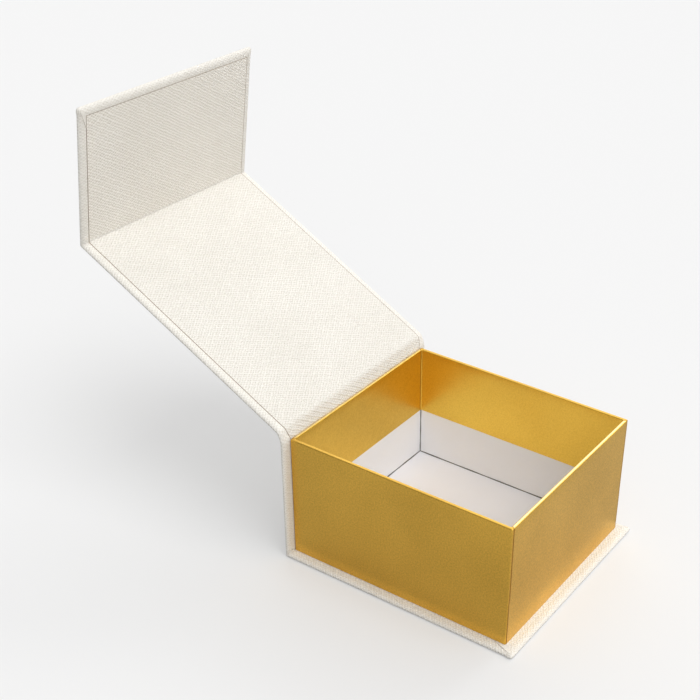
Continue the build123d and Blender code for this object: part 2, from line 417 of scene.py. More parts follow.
class Finishes:
    """Every material of the box, built once."""

    def __init__(self) -> None:
        """Build the groups and the materials on them."""
        groups = Groups(emboss_group(), fibre_group())
        self.cover = EmbossedPaper("ivory cover paper", (0.93, 0.90, 0.84), (0.62, 0.575, 0.49),
                                   0.32 * MM, 0.5).build(groups)
        self.liner = EmbossedPaper("ivory liner paper", (0.92, 0.89, 0.83),
                                   (0.58, 0.53, 0.44)).build(groups)
        # Painted light: a brighter copy of the liner paper for the flap's inner face, with more painted
        # shade in its emboss hollows.
        self.flap_liner = EmbossedPaper("ivory flap liner paper", (0.97, 0.935, 0.865),
                                        (0.60, 0.545, 0.455), 0.35 * MM, 0.75).build(groups)
        # Cut paper edge; the liner's edge band wears it too, as painted shade along the liner's edge.
        self.cut_edge_and_liner_shade = PressedBoard("cut paper edge and painted liner edge shade", (0.36, 0.28, 0.20), (0.29, 0.215, 0.145),
                                     (0.55, 0.48, 0.4)).build(groups)
        self.foil = SatinFoil("gold foil", (0.92, 0.56, 0.096), (0.62, 0.372, 0.058)).build()
        self.foil_edge = SatinFoil("cut foil edge", (0.52, 0.26, 0.03), (0.42, 0.20, 0.02),
                                   0.5).build()
        # Painted light: a brighter copy of the gold foil for the turned-in foil on the cavity's inner
        # walls.
        self.foil_inside = SatinFoil("turned-in gold foil", (0.95, 0.63, 0.104),
                                     (0.79, 0.49, 0.07)).build()
        # Painted highlight: a pale copy of the gold foil for the crest of the rim.
        self.painted_rim_highlight = SatinFoil("gold foil with painted rim highlight", (0.97, 0.80, 0.42), (0.90, 0.70, 0.32),
                                    0.24).build()
        # Painted shade: near-black for the thin strips along the tray cavity's joints.
        self.joint = PressedBoard("painted joint shade", (0.13, 0.125, 0.12), (0.10, 0.095, 0.09),
                                  (0.2, 0.19, 0.18)).build(groups)
        self.grey = PressedBoard("greyboard", (0.34, 0.32, 0.29), (0.27, 0.25, 0.22),
                                 (0.5, 0.48, 0.44)).build(groups)
        self.white = PressedBoard("white lined board", (0.90, 0.915, 0.95), (0.88, 0.895, 0.93),
                                  (0.78, 0.77, 0.78), speck_share=0.2).build(groups)
        # Painted shade: a darker copy of the white lined board for the tray's floor.
        self.shaded_tray_floor = PressedBoard("white board with painted shade for the tray floor", (0.78, 0.785, 0.82),
                                       (0.76, 0.765, 0.80), (0.68, 0.66, 0.66),
                                       speck_share=0.2).build(groups)
        self.stay = PressedBoard("kraft stay paper", (0.46, 0.33, 0.2), (0.4, 0.28, 0.16),
                                 (0.3, 0.2, 0.12)).build(groups)
        self.magnet = PlatedMagnet().build()


# ---------------------------------------------------------------------------
# Meshes from grids
# ---------------------------------------------------------------------------
def grid_quads(rows: int, columns: int, closed: bool = False) -> np.ndarray:
    """Quads of a grid whose corners run row by row, facing down each row's outer side.

    Args:
        rows: Number of rows.
        columns: Number of points in a row.
        closed: True if each row is a loop.

    Returns:
        Corner numbers, four to a quad, as (rows - 1, spans, 4).
    """
    spans = columns if closed else columns - 1
    row, column = np.meshgrid(np.arange(rows - 1), np.arange(spans), indexing="ij")
    after = (column + 1) % columns
    return np.stack([row * columns + column, (row + 1) * columns + column,
                     (row + 1) * columns + after, row * columns + after], axis=-1)


def make_piece(name: str, points: np.ndarray, quads: np.ndarray, sheet: np.ndarray,
               materials: list[bpy.types.Material],
               second: np.ndarray | None = None) -> bpy.types.Object:
    """Object from a point grid, with its sheet coordinates and smooth shading.

    Args:
        name: Name of the piece.
        points: Points, shape (..., 3).
        quads: Corner numbers, shape (..., 4).
        sheet: Sheet coordinates of the points in metres, shape (..., 2).
        materials: Materials of the piece, the first on every face.
        second: Number of each quad's material after the first, or None.

    Returns:
        The object, at the origin.
    """
    flat = points.reshape(-1, 3)
    mesh = bpy.data.meshes.new(name)
    mesh.from_pydata(flat, [], quads.reshape(-1, 4))
    if second is not None:
        mesh.polygons.foreach_set("material_index", second.astype(np.int32).ravel())
    corners = np.empty(len(mesh.loops), np.int32)
    mesh.loops.foreach_get("vertex_index", corners)
    layer = mesh.uv_layers.new(name="sheet")
    layer.data.foreach_set("uv", sheet.reshape(-1, 2)[corners].astype(np.float32).ravel())
    shell = bmesh.new()
    shell.from_mesh(mesh)
    bmesh.ops.remove_doubles(shell, verts=shell.verts, dist=MERGE)
    bmesh.ops.dissolve_degenerate(shell, edges=shell.edges, dist=MERGE)
    shell.to_mesh(mesh)
    shell.free()
    mesh.polygons.foreach_set("use_smooth", np.ones(len(mesh.polygons), bool))
    mesh.set_sharp_from_angle(angle=SMOOTH_ANGLE)
    for material in materials:
        mesh.materials.append(material)
    piece = bpy.data.objects.new(name, mesh)
    bpy.context.scene.collection.objects.link(piece)
    return piece


def thicken(piece: bpy.types.Object, thickness: float, edge_step: int = 1) -> None:
    """Turn a sheet into a shell of that thickness inward, with crisp cut edges.

    Args:
        piece: The sheet.
        thickness: Thickness of the shell.
        edge_step: Step in the list of materials from a face to the cut edge beside it.
    """
    solid = piece.modifiers.new("paper thickness", "SOLIDIFY")
    solid.thickness = thickness
    solid.offset = -1.0
    solid.use_even_offset = True
    solid.use_rim = True
    solid.material_offset_rim = edge_step
    depsgraph = bpy.context.evaluated_depsgraph_get()
    shell = bpy.data.meshes.new_from_object(piece.evaluated_get(depsgraph),
                                            preserve_all_data_layers=True, depsgraph=depsgraph)
    sheet = piece.data
    piece.modifiers.clear()
    piece.data = shell
    bpy.data.meshes.remove(sheet)
    shell.name = piece.name
    shell.set_sharp_from_angle(angle=SMOOTH_ANGLE)


def quarter(steps: int) -> np.ndarray:
    """Angles of a quarter turn from 0 to 90 degrees."""
    return np.linspace(0.0, math.pi / 2, steps + 1)


def lengths(path: np.ndarray) -> np.ndarray:
    """Length along a path of points up to each of them."""
    return np.concatenate([[0.0], np.cumsum(np.linalg.norm(np.diff(path, axis=0), axis=1))])


def on_sheet(across: np.ndarray, along: np.ndarray) -> np.ndarray:
    """Sheet coordinates of a grid, from those across it and those of its rows."""
    return np.stack(np.broadcast_arrays(across, along[:, None]), axis=-1)


# ---------------------------------------------------------------------------
# The case's path in the YZ plane
# ---------------------------------------------------------------------------
@dataclass(frozen=True)
class Face:
    """A panel's outer face: where its line starts and its direction, both in the YZ plane."""

    start: np.ndarray
    along: np.ndarray

    def at(self, distance: object, inward: object = 0.0) -> np.ndarray:
        """Points at distances along the face and inward from it.

        Args:
            distance: Distance or distances from the start.
            inward: Distance or distances towards the inside of the box.

        Returns:
            Points (y, z), shape (n, 2).
        """
        normal = np.array([-self.along[1], self.along[0]])
        distance, inward = np.broadcast_arrays(np.atleast_1d(distance), np.atleast_1d(inward))
        return self.start + distance[:, None] * self.along + inward[:, None] * normal


@dataclass
class CaseLayout:
    """Faces and sizes of the case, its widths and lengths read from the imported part.

    spine_sheet and lid_sheet are the sheet coordinates at which those two panels start.
    """

    roll: float = 1.08 * MM
    reach: float = 2.3 * MM
    puff: float = 0.35 * MM
    cover: float = 0.15 * MM
    liner: float = 0.15 * MM
    turn_in: float = 15.0 * MM
    liner_inset: float = 3.5 * MM
    spine_liner_half: float = 49.2 * MM
    setback: float = 0.8 * MM
    flap_length: float = 65.3 * MM
    flap_bend: float = math.radians(70)
    flap_room: float = 0.3 * MM
    fold_lap: float = 0.6 * MM
    flap_start: float = 2.6 * MM
    spine_sheet: float = 0.12
    lid_sheet: float = 0.19
    half_width: float = field(init=False)
    thickness: float = field(init=False)
    rim: float = field(init=False)
    base_length: float = field(init=False)
    lid_length: float = field(init=False)
    lid_end: float = field(init=False)
    base: Face = field(init=False)
    spine: Face = field(init=False)
    lid: Face = field(init=False)
    flap: Face = field(init=False)

    def __post_init__(self) -> None:
        """Read the folds from the joints and the sizes from the nodes' boxes."""
        folds = {j["name"]: np.array(j["pos_m"][1:]) for j in frame["joints"]}
        low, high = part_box("cover_base")
        self.half_width = high.x
        self.thickness = high.z - low.z
        self.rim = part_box("cover_spine")[1].z
        rear = high.y
        self.base_length = rear - low.y
        self.base = Face(np.array([low.y, 0.0]), np.array([1.0, 0.0]))
        self.spine = Face(np.array([rear, 0.0]), np.array([0.0, 1.0]))
        reach = folds["flap_hinge"] - folds["lid_hinge"]
        self.lid_length = float(np.linalg.norm(reach))
        self.lid_end = self.lid_length - self.thickness - self.liner - self.flap_room
        self.lid = Face(folds["lid_hinge"], reach / self.lid_length)
        turn = math.atan2(reach[1], reach[0]) + self.flap_bend
        self.flap = Face(folds["flap_hinge"], np.array([math.cos(turn), math.sin(turn)]))

    @property
    def lid_stop(self) -> float:
        """Distance along the lid at which its flat cover and liner stop."""
        return self.lid_end - self.fold_lap

    @property
    def liner_half(self) -> float:
        """Half width of the liner on the lid and the flap."""
        return self.half_width - self.liner_inset

    @property
    def window_half(self) -> float:
        """Half width of the board's window between the turn-ins."""
        return self.half_width - self.turn_in


@dataclass
class Rollover:
    """Cross-section of a wrapped board: a rectangle with fully rolled edges.

    Each point of the loop is a point of the inner rectangle plus a point of the roll, an
    ellipse with the roll as its half height and the reach as its half width. The loop runs
    along the outer face, round one edge, back along the inner face and round the other edge.
    Where an end closes, the reach shrinks less fast than the roll, so the corner stays nearly
    square in plan.
    """

    half_width: float
    thickness: float
    roll: float
    reach: float
    stops: np.ndarray
    steps: int = 7

    def __post_init__(self) -> None:
        """Lay out the loop's inner points and normals."""
        face = self.stops / np.abs(self.stops).max()
        bend = np.linspace(-math.pi / 2, math.pi / 2, 2 * self.steps + 1)[1:-1]
        tier = np.where(np.arange(len(bend)) < self.steps, -1.0, 1.0)
        flat, one, edge = np.zeros(len(face)), np.ones(len(face)), np.ones(len(bend))
        self.inner_x = np.concatenate([face, edge, face[::-1], -edge])
        self.tier = np.concatenate([-one, tier, one, -tier])
        self.normal_x = np.concatenate([flat, np.cos(bend), flat, -np.cos(bend)])
        self.normal_h = np.concatenate([-one, np.sin(bend), one, -np.sin(bend)])
        self.is_inner_face = np.concatenate([flat, 0 * edge, one, 0 * edge]).astype(bool)

    def ring(self, roll: np.ndarray) -> tuple[np.ndarray, np.ndarray]:
        """Sideways place and share of the height of the loop for each row's roll.

        Args:
            roll: Radius of each row's roll, less than the full one where an end closes.

        Returns:
            x in metres and height from 0 (outer face) to 1 (inner face), both (rows, loop).
        """
        width = self.half_width - self.reach
        rise = self.thickness / 2 - self.roll
        x = self.inner_x * width + (roll[:, None] / self.roll) ** 0.4 * self.reach * self.normal_x
        h = self.thickness / 2 + self.tier * rise + roll[:, None] * self.normal_h
        return x, h / self.thickness

    def around(self) -> np.ndarray:
        """Length round the loop up to each point, for sheet coordinates."""
        x, h = self.ring(np.array([self.roll]))
        return lengths(np.stack([x[0], h[0] * self.thickness], axis=1)) - self.half_width


# ---------------------------------------------------------------------------
# Case cover, boards and liner
# ---------------------------------------------------------------------------
def face_stops(half: float, window: float, count: int) -> np.ndarray:
    """Even stops across a face, with one at each side of the window.

    Args:
        half: Half width of the face's flat part.
        window: Half width of the window.
        count: Number of spans between the window's sides.

    Returns:
        Stops from -half to half.
    """
    middle = np.linspace(-window, window, count + 1)
    side = np.linspace(window, half, 9)[1:]
    return np.concatenate([-side[::-1], middle, side])


@dataclass
class Case:
    """The wrapped case: boards, cover paper and liner paper."""

    layout: CaseLayout
    finishes: Finishes
    tuck_lift: float = 0.13 * MM
    tuck_bulge: float = 0.10 * MM
    tuck_slope: float = 1.8
    tuck_reach: float = 4.6 * MM
    tuck_root: float = 0.04 * MM
    tuck_margin: float = 0.2 * MM
    tuck_paper: float = 0.18 * MM
    board_gap: float = 0.16 * MM
    crease_dip: float = 0.10 * MM
    fold_reach: float = 3.2 * MM
    fold_drop: float = 1.8 * MM
    soften: float = 1.3 * MM
    liner_edge: float = 0.24 * MM
    crease_room: float = 1.2 * MM
    crease_lead: float = 0.35 * MM
    flap_round: float = 1.6 * MM
    flap_lead: float = 0.4 * MM
    lid_lead: float = 1.0 * MM
    board_joint: float = 0.1 * MM
    flap_core_start: float = 2.0 * MM
    bulge_fade: float = 0.5 * MM
    liner_lead: float = 0.25 * MM
    neck_lead: float = 0.5 * MM
    neck_length: float = 7.5 * MM
    ripple: float = 0.10 * MM

    # -- wrapped tubes -----------------------------------------------------
    def tube(self, name: str, outer: np.ndarray, inner: np.ndarray, roll: np.ndarray,
             shift: float = 0.0, window: tuple[float, float] | None = None,
             inset: float = 0.0) -> bpy.types.Object:
        """Wrapped board: the rolled section carried along a pair of lines.

        Each row's point lies between the outer and the inner line by its share of the height.
        A row whose roll is zero closes the end.

        Args:
            name: Name of the piece.
            outer: Outer line, (rows, 2) in the YZ plane.
            inner: Inner line, (rows, 2).
            roll: Roll radius of each row.
            shift: Sheet coordinate of the first row.
            window: First and last sheet coordinate of the window cut in the inner face.
            inset: Distance by which the whole section is drawn in, for a board in its cover.

        Returns:
            The piece.
        """
        lay = self.layout
        full = lay.roll - inset
        section = Rollover(lay.half_width - inset, lay.thickness - 2 * inset, full,
                           lay.reach - inset,
                           face_stops(lay.half_width - lay.reach, lay.window_half, 12))
        x, h = section.ring(np.minimum(roll, full))
        points = np.empty((*x.shape, 3))
        points[..., 0] = x
        points[..., 1:] = outer[:, None] + h[..., None] * (inner - outer)[:, None]
        run = shift + lengths(outer)
        sheet = on_sheet(section.around(), run)
        quads = grid_quads(len(run), x.shape[1], closed=True)
        keep = np.ones(quads.shape[:2], bool)
        if window is not None:
            middle = (run[1:] + run[:-1]) / 2
            rows = (middle > window[0]) & (middle < window[1])
            centre = (x[0] + np.roll(x[0], -1)) / 2
            columns = section.is_inner_face & (np.abs(centre) < lay.window_half)
            keep &= ~(rows[:, None] & columns[None, :])
        faces = [quads[keep]]
        count = len(section.stops)
        first_inner = count + 2 * section.steps - 1
        low = np.arange(count - 1)
        high = first_inner + count - 1 - low
        for row, flip in ((0, False), (len(run) - 1, True)):
            if roll[row] < HAIR:
                base = row * x.shape[1]
                cap = np.stack([low, low + 1, high - 1, high], axis=1) + base
                faces.append(cap[:, ::-1] if flip else cap)
        materials = [self.finishes.grey] if inset else [self.finishes.cover, self.finishes.cut_edge_and_liner_shade]
        return make_piece(name, points, np.concatenate(faces), sheet, materials)

    def closed_end(self) -> tuple[np.ndarray, np.ndarray]:
        """Distances from a closed end and the roll at each, over one quarter turn."""
        turn = quarter(7)
        return self.layout.reach * (1 - np.cos(turn)), self.layout.roll * np.sin(turn)

    def straight(self, face: Face, stops: np.ndarray,
                 puff: float = 0.0) -> tuple[np.ndarray, np.ndarray]:
        """Outer and inner lines of a flat panel at distances along its face."""
        return face.at(stops, -puff), face.at(stops, self.layout.thickness)

    def finish_cover(self, piece: bpy.types.Object, *nodes: str) -> bpy.types.Object:
        """Give a cover piece its paper thickness and hide the CAD nodes it stands for.

        Args:
            piece: The cover piece.
            *nodes: CAD nodes it stands for.

        Returns:
            The same piece.
        """
        thicken(piece, self.layout.cover)
        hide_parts(*nodes)
        LOG.info("%s stands for %s", piece.name, ", ".join(nodes))
        return piece

    def build_base_and_spine(self) -> None:
        """Cover of the base and the spine: one wrap, creased where the two boards meet."""
        lay = self.layout
        t, corner = lay.thickness, lay.roll
        near, roll = self.closed_end()
        flat = np.linspace(near[-1], lay.base_length - t - self.crease_room, 26)[1:]
        outer, inner = self.straight(lay.base, np.concatenate([near, flat]))
        bend = quarter(6)
        centre = lay.base.at(lay.base_length - corner, corner)
        arc = centre + corner * np.stack([np.sin(bend), -np.cos(bend)], axis=1)
        crease = lay.base.at(lay.base_length - t, t)
        dip = self.crease_dip * np.exp(-((bend - math.pi / 4) / 0.25) ** 2)
        way = np.linspace(-1, 1, len(bend))[:, None]
        lead = np.hstack([np.minimum(way, 0), np.maximum(way, 0)]) * self.crease_lead
        bend_inner = crease + lead + dip[:, None] * np.array([1.0, -1.0])
        up = np.linspace(t + self.crease_room, lay.rim - self.fold_drop, 16)
        spine_outer, spine_inner = self.straight(lay.spine, up)
        outer = np.concatenate([outer, arc, spine_outer])
        inner = np.concatenate([inner, bend_inner, spine_inner])
        rolls = np.concatenate([roll, np.full(len(outer) - len(roll), lay.roll)])
        piece = self.tube("base_and_spine_cover", outer, inner, rolls,
                          window=(lay.turn_in, lay.base_length + lay.rim))
        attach(self.finish_cover(piece, "cover_base", "cover_spine"), Body.BOX.value)

    def build_lid_cover(self) -> None:
        """Cover of the lid between its two folds."""
        lay = self.layout
        stops = np.linspace(self.fold_reach, lay.lid_stop, 30)
        outer, inner = self.straight(lay.lid, stops, lay.puff)
        piece = self.tube("lid_cover", outer, inner, np.full(len(stops), lay.roll),
                          shift=lay.lid_sheet + stops[0], window=(0.0, 1.0))
        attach(self.finish_cover(piece, "cover_lid"), Body.LID.value)

    def build_flap_cover(self) -> None:
        """Cover of the flap, closed at its free edge."""
        lay = self.layout
        near, roll = self.closed_end()
        stops = np.concatenate([np.linspace(lay.flap_start, lay.flap_length - lay.roll, 22)[:-1],
                                lay.flap_length - near[::-1]])
        rolls = np.concatenate([np.full(len(stops) - len(roll), lay.roll), roll[::-1]])
        outer, inner = self.straight(lay.flap, stops, lay.puff)
        start = lay.lid_sheet + lay.lid_length
        piece = self.tube("flap_cover", outer, inner, rolls, shift=start + stops[0],
                          window=(0.0, start + lay.flap_length - lay.turn_in))
        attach(self.finish_cover(piece, "cover_flap"), Body.FLAP.value)

    def build_lid_fold(self) -> None:
        """Cover across the lid fold: it bends back at the hinge and bridges the boards' gap."""
        lay = self.layout
        share = np.linspace(0, 1, 15)[:, None]
        low_o, low_i = self.straight(lay.spine, np.array([lay.rim - self.fold_drop]))
        top_o, top_i = self.straight(lay.lid, np.array([self.fold_reach]), lay.puff)
        corner = lay.lid.at(0.0, -0.5 * lay.puff)
        outer = (1 - share) ** 2 * low_o + 2 * share * (1 - share) * corner + share ** 2 * top_o
        inner = self.bridge(low_i, top_i, share, lay.thickness)
        piece = self.tube("lid_fold_cover", outer, inner, np.full(len(outer), lay.roll),
                          shift=lay.base_length + lay.rim)
        self.finish_cover(piece, "cover_lid_fold")
        self.bend_between(piece, Body.BOX, Body.LID, lay.spine.at(lay.rim)[0],
                          lay.lid.at(self.lid_lead)[0])

    def bridge(self, low: np.ndarray, top: np.ndarray, share: np.ndarray,
               inward: float) -> np.ndarray:
        """Inner line across the lid fold, bridging the gap between the boards.

        It is the line through four points, the panels' ends among them, each of its places
        averaged over a short length to either side.

        Args:
            low: Point on the spine, (1, 2).
            top: Point on the lid, (1, 2).
            share: Places along the line from 0 to 1, (n, 1).
            inward: Depth of the line under the panels' outer faces.

        Returns:
            Points of the line, (n, 2).
        """
        lay = self.layout
        knots = np.concatenate([low, lay.spine.at(lay.rim, inward),
                                lay.lid.at(lay.setback, inward), top])
        run = lengths(knots)
        at = share[:, 0] * run[-1]
        reach = np.minimum(self.soften, np.minimum(at, run[-1] - at))
        where = at[:, None] + np.linspace(-1, 1, 15) * reach[:, None]
        return np.stack([np.interp(where, run, knots[:, k]).mean(axis=1) for k in (0, 1)], axis=1)

    def build_flap_fold(self) -> None:
        """Cover across the flap fold: rounded outside, meeting in a crease inside."""
        lay = self.layout
        pull, way = math.tan(lay.flap_bend / 2), np.linspace(-1, 1, 9)
        centre = lay.lid.at(lay.lid_length - self.flap_round * pull + 0.5 * lay.puff,
                            self.flap_round - lay.puff)
        turn = math.atan2(*lay.lid.along[::-1]) + lay.flap_bend * (1 + way) / 2
        arc = centre + self.flap_round * np.stack([np.sin(turn), -np.cos(turn)], axis=1)
        crease = lay.lid.at(lay.lid_length - lay.thickness * pull, lay.thickness)
        side = np.where(way[:, None] < 0, -lay.lid.along, lay.flap.along)
        inner = crease + self.flap_lead * np.abs(way)[:, None] * side
        low_o, low_i = self.straight(lay.lid, np.array([lay.lid_stop, lay.lid_end]), lay.puff)
        top_o, top_i = self.straight(lay.flap, lay.flap_start - np.array([self.flap_lead, 0.0]),
                                     lay.puff)
        outer = np.concatenate([low_o, arc, top_o])
        inner = np.concatenate([low_i, inner, top_i])
        piece = self.tube("flap_fold_cover", outer, inner, np.full(len(outer), lay.roll),
                          shift=lay.lid_sheet + lay.lid_stop)
        self.finish_cover(piece, "cover_flap_fold")
        self.bend_between(piece, Body.LID, Body.FLAP, lay.lid.at(lay.lid_end - lay.fold_lap / 2)[0],
                          lay.flap.at(lay.flap_start - lay.fold_lap / 2)[0])

    @staticmethod
    def bend_between(piece: bpy.types.Object, first: Body, second: Body, start: np.ndarray,
                     end: np.ndarray) -> None:
        """Bake the piece's transform into its mesh; it rides on no body and does not bend."""
        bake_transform(piece)

    def build_boards(self) -> None:
        """The four greyboards, each a rolled slab closed at both ends inside its cover."""
        lay = self.layout
        near, roll = self.closed_end()
        full = lay.roll - self.board_gap
        gap = self.board_gap
        near, roll = near * (1 - gap / lay.reach), roll * full / lay.roll
        joint = lay.thickness + self.board_joint
        spans = (
            ("base_core", lay.base, gap, lay.base_length - joint, "base_board", Body.BOX),
            ("spine_core", lay.spine, joint, lay.rim - self.fold_drop, "spine_board", Body.BOX),
            ("lid_core", lay.lid, self.fold_reach, lay.lid_end, "lid_board", Body.LID),
            ("flap_core", lay.flap, self.flap_core_start, lay.flap_length - gap,
             "flap_board", Body.FLAP),
        )
        for name, face, start, end, node, body in spans:
            stops = np.concatenate([start + near, np.linspace(start, end, 8)[1:-1], end - near[::-1]])
            rolls = np.concatenate([roll, np.full(6, full), roll[::-1]])
            piece = self.tube(name, face.at(stops, gap), face.at(stops, lay.thickness - gap), rolls,
                              inset=gap)
            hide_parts(node)
            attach(piece, body.value)
            LOG.info("%s stands for %s", name, node)

    # -- tucked corners ----------------------------------------------------
    def build_tuck(self, name: str, face: Face, length: float, outward: float, depth: float,
                   body: Body) -> None:
        """Turn-in at a closed end, folded over the side turn-ins with slanting edges.

        Rows run over the end's roll and then across the inner face at growing inset i. Each
        row follows the panel's outline at that inset, from one slanting edge round a corner,
        along the end and round the other corner. The slanting edge lies at the distance
        i + slope * (i - wing_start) from the end.

        Args:
            name: Name of the piece.
            face: Face of the panel.
            length: Distance of the closed end along the face.
            outward: Direction of the closed end along the face, 1 or -1.
            depth: Depth of the turn-in.
            body: Body it rides on.
        """
        lay = self.layout
        r, width = lay.reach, lay.half_width
        puff = lay.puff if body is Body.FLAP else 0.0
        tall = lay.thickness + puff
        corner, under = lay.roll * tall / lay.thickness, math.radians(150)
        turn = np.linspace(under, 0.0, 18)
        lift = (self.tuck_lift + self.tuck_bulge) * np.clip((under - turn) / math.radians(30), 0, 1)
        lift[0] = -self.tuck_root
        insets = np.concatenate([np.linspace(r, self.tuck_reach, 9)[1:],
                                 np.linspace(self.tuck_reach, depth, 8)[1:]])
        radius = np.concatenate([(r + lift) * np.sin(turn), np.zeros(len(insets))])
        inset = np.concatenate([r - radius[:len(turn)], insets])
        rise = np.where(turn > math.pi / 2, corner - tall / 2, tall / 2 - corner)
        swollen = np.clip((lay.liner_inset - self.tuck_margin - insets) / self.bulge_fade, 0, 1)
        height = np.concatenate([tall / 2 + rise + (corner + lift) * np.cos(turn),
                                 tall + self.tuck_lift + self.tuck_bulge * swollen]) - puff
        square = np.maximum(inset, r)
        inner_side = np.concatenate([turn < math.pi / 2, insets > 0])
        wing_start = 0.12 * r
        wing = np.where(inner_side, self.tuck_slope * np.clip(inset - wing_start, 0, None), 0.0)
        wing = np.clip(wing - np.maximum(r - inset, 0.0), 0, None)
        widest = self.tuck_slope * (self.tuck_reach - wing_start)
        wing = np.minimum(wing, np.clip(widest + self.tuck_reach - inset, 0, None))
        steps = np.linspace(1, 0, 9)[:-1]
        psi = quarter(6)[::-1]
        side_x = np.broadcast_to((width - square + radius)[:, None], (len(inset), len(steps)))
        side_e = square[:, None] + steps * wing[:, None]
        arc_x = (width - square)[:, None] + radius[:, None] * np.sin(psi) ** 0.5
        arc_e = square[:, None] - radius[:, None] * np.abs(np.cos(psi)) ** 0.5
        tip = np.linspace(1, -1, 25)[1:-1]
        tip_x = (width - square)[:, None] * tip
        tip_e = np.broadcast_to((square - radius)[:, None], tip_x.shape)
        x = np.concatenate([side_x, arc_x, tip_x, -arc_x[:, ::-1], -side_x[:, ::-1]], axis=1)
        e = np.concatenate([side_e, arc_e, tip_e, arc_e[:, ::-1], side_e[:, ::-1]], axis=1)
        h = np.broadcast_to(height[:, None], x.shape)
        distance = length - outward * e
        yz = face.at(distance.ravel(), h.ravel()).reshape(*x.shape, 2)
        points = np.concatenate([x[..., None], yz], axis=-1)
        run = lengths(np.stack([inset, height], axis=1))
        sheet = on_sheet(x, run)
        quads = grid_quads(*x.shape)
        if outward > 0:
            quads = quads[..., ::-1]
        piece = make_piece(name, points, quads, sheet, [self.finishes.cover, self.finishes.cut_edge_and_liner_shade])
        thicken(piece, self.tuck_paper)
        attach(piece, body.value)
        LOG.info("%s rides on %s", name, body.value)

    # -- liner -------------------------------------------------------------
    def build_liner(self, name: str, line: np.ndarray, half: np.ndarray, node: str,
                    shift: float, columns: int = 28,
                    ripple: np.ndarray | None = None) -> bpy.types.Object:
        """Sheet of liner paper: straight across the box, along a line in the YZ plane.

        A narrow strip at each side, and at the flap's tip, wears the cut edge's colour: the paper's cut
        edge, widened into painted shade along the liner's edge.

        Args:
            name: Name of the piece.
            line: Line of the sheet's visible face, (rows, 2).
            half: Half width at each row.
            node: CAD node it stands for.
            shift: Sheet coordinate of the first row.
            columns: Number of spans across.
            ripple: Depth of the fold's wrinkles at each row, or None.

        Returns:
            The piece.
        """
        inner = (half - self.liner_edge)[:, None] * np.linspace(-1, 1, columns + 1)
        x = np.concatenate([-half[:, None], inner, half[:, None]], axis=1)
        # Band at the liner's edges: its cut edge, widened into painted shade.
        bare = np.zeros((len(line) - 1, columns + 2), bool)
        bare[:, [0, -1]] = True
        bare[-1] |= node == "liner_flap"
        run = shift + lengths(line)
        points = np.empty((*x.shape, 3))
        points[..., 0] = x
        points[..., 1:] = line[:, None]
        if ripple is not None:
            along = np.gradient(line, axis=0)
            along /= np.linalg.norm(along, axis=1, keepdims=True)
            normal = np.stack([-along[:, 1], along[:, 0]], axis=1)
            a = 2 * math.pi * (220.0 * x + 355.0 * run[:, None])
            b = 2 * math.pi * (355.0 * run[:, None] - 220.0 * x)
            wave = 0.5 * np.sin(a) + 0.35 * np.sin(b) + 0.3 * np.sin(0.31 * a + 1.3 * np.sin(0.09 * b))
            points[..., 1:] += (ripple[:, None] * wave)[..., None] * normal[:, None]
        sheet = on_sheet(x, run)
        quads = grid_quads(*x.shape)[..., ::-1]
        # The flap's liner wears the brighter copy of the liner paper: painted light.
        paper = self.finishes.flap_liner if node == "liner_flap" else self.finishes.liner
        piece = make_piece(name, points, quads, sheet, [paper, self.finishes.cut_edge_and_liner_shade], bare)
        thicken(piece, self.layout.liner, 0)
        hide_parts(node)
        LOG.info("%s stands for %s", name, node)
        return piece

    def build_liners(self) -> None:
        """The liner on the spine, the lid and the flap, and across both folds."""
        lay = self.layout
        top = lay.thickness + lay.liner
        wide, narrow = lay.liner_half, lay.spine_liner_half
        spine_line = lay.spine.at(np.linspace(lay.thickness + self.board_joint,
                                              lay.rim - self.fold_drop, 12), top)
        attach(self.build_liner("spine_liner", spine_line, np.full(12, narrow), "liner_spine",
                                 lay.spine_sheet), Body.BOX.value)
        share = np.linspace(0, 1, 27)[:, None]
        fold = self.bridge(lay.spine.at(lay.rim - self.fold_drop, top),
                           lay.lid.at(self.fold_reach, top), share, top)
        neck = self.neck(fold)
        ripple = self.ripple * np.sin(math.pi * share[:, 0]) ** 0.7
        fold_piece = self.build_liner("lid_fold_liner", fold, neck, "liner_lid_fold",
                                      lay.base_length + lay.rim, 300, ripple)
        self.bend_between(fold_piece, Body.BOX, Body.LID, lay.spine.at(lay.rim, top)[0],
                          lay.lid.at(self.lid_lead, top)[0])
        stops = np.concatenate([np.linspace(self.fold_reach, 10 * MM, 14),
                                np.linspace(10 * MM, lay.lid_stop, 26)[1:]])
        lid_line = lay.lid.at(stops, top)
        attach(self.build_liner("lid_liner", lid_line, self.neck(lid_line), "liner_lid",
                                 lay.lid_sheet + stops[0]), Body.LID.value)
        pull, lead = top * math.tan(lay.flap_bend / 2), self.liner_lead
        crease = lay.lid_length - pull
        fold = np.concatenate([lay.lid.at(np.array([lay.lid_stop, crease - lead, crease]), top),
                               lay.flap.at(np.array([pull + lead, lay.flap_start]), top)])
        piece = self.build_liner("flap_fold_liner", fold, np.full(len(fold), wide),
                                 "liner_flap_fold", lay.lid_sheet + lay.lid_stop)
        self.bend_between(piece, Body.LID, Body.FLAP, fold[0], fold[-1])
        tip = lay.flap_length - lay.liner_inset
        flap_stops = np.append(np.linspace(lay.flap_start, tip - self.liner_edge, 21), tip)
        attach(self.build_liner("flap_liner", lay.flap.at(flap_stops, top), np.full(22, wide),
                                 "liner_flap", lay.lid_sheet + lay.lid_length + flap_stops[0]),
                Body.FLAP.value)

